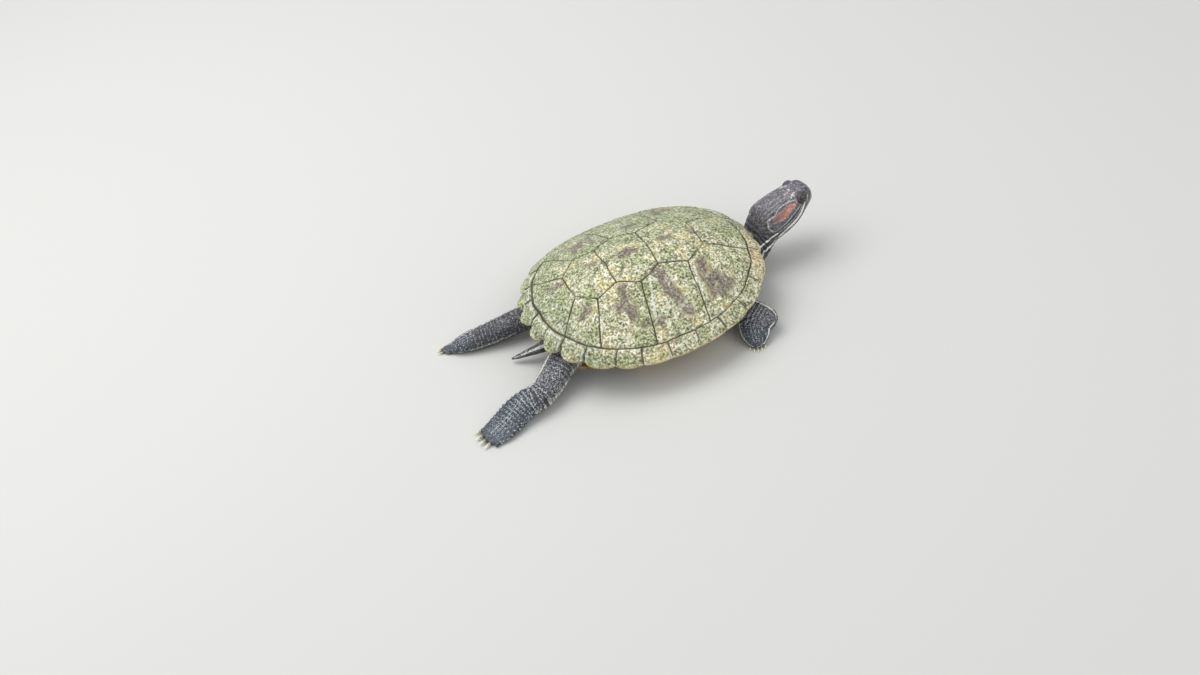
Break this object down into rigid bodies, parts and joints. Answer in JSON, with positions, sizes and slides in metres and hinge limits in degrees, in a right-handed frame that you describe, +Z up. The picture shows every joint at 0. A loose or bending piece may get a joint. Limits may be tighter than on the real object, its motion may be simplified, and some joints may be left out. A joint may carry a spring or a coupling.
{
  "type": "red-eared slider turtle",
  "caption": "Life-size still model of a basking pond slider turtle: domed plated shell, outstretched hind legs, tail, folded forelegs and raised striped head with red ear patches.",
  "frame": {"origin": "middle of the animal's bounding box, at floor level", "axes": "+X towards the head, +Y to the turtle's left, +Z up"},
  "size_m": [0.3292, 0.1814, 0.0695],
  "materials": {
    "algae_clad_keratin": null,
    "rim_keratin": "horny plates of the shell rim, algae over yellow-tan keratin",
    "plastron_keratin": "yellow horny plates of the belly and bridges with dark smudges",
    "skin": "charcoal scaled skin with pale stripes and speckles",
    "head_skin": "smooth dark skin with fine pale lines and the red ear patch",
    "beak_keratin": "horny beak, pale along the cutting edge",
    "claw_keratin": "pale horn",
    "eye": "wet dark eyeball"
  },
  "bodies": {
    "root": {"bridge_left": "plastron_keratin", "bridge_right": "plastron_keratin", "claw_forefoot_left_1": "claw_keratin", "claw_forefoot_left_2": "claw_keratin", "claw_forefoot_left_3": "claw_keratin", "claw_forefoot_left_4": "claw_keratin", "claw_forefoot_left_5": "claw_keratin", "claw_forefoot_right_1": "claw_keratin", "claw_forefoot_right_2": "claw_keratin", "claw_forefoot_right_3": "claw_keratin", "claw_forefoot_right_4": "claw_keratin", "claw_forefoot_right_5": "claw_keratin", "claw_hind_foot_left_1": "claw_keratin", "claw_hind_foot_left_2": "claw_keratin", "claw_hind_foot_left_3": "claw_keratin", "claw_hind_foot_left_4": "claw_keratin", "claw_hind_foot_right_1": "claw_keratin", "claw_hind_foot_right_2": "claw_keratin", "claw_hind_foot_right_3": "claw_keratin", "claw_hind_foot_right_4": "claw_keratin", "costal_left_1": "algae_clad_keratin", "costal_left_2": "algae_clad_keratin", "costal_left_3": "algae_clad_keratin", "costal_left_4": "algae_clad_keratin", "costal_right_1": "algae_clad_keratin", "costal_right_2": "algae_clad_keratin", "costal_right_3": "algae_clad_keratin", "costal_right_4": "algae_clad_keratin", "eye_left": "eye", "eye_right": "eye", "forefoot_left": "skin", "forefoot_right": "skin", "foreleg_left": "skin", "foreleg_right": "skin", "head": "head_skin", "hind_foot_left": "skin", "hind_foot_right": "skin", "hind_leg_left": "skin", "hind_leg_right": "skin", "lower_jaw": "beak_keratin", "marginal_rim_left": "rim_keratin", "marginal_rim_right": "rim_keratin", "neck": "skin", "nuchal": "rim_keratin", "plastron_abdominal": "plastron_keratin", "plastron_anal": "plastron_keratin", "plastron_femoral": "plastron_keratin", "plastron_gular": "plastron_keratin", "plastron_humeral": "plastron_keratin", "plastron_pectoral": "plastron_keratin", "tail": "skin", "trunk": "skin", "upper_beak": "beak_keratin", "vertebral_1": "algae_clad_keratin", "vertebral_2": "algae_clad_keratin", "vertebral_3": "algae_clad_keratin", "vertebral_4": "algae_clad_keratin", "vertebral_5": "algae_clad_keratin"}
  },
  "joints": []
}
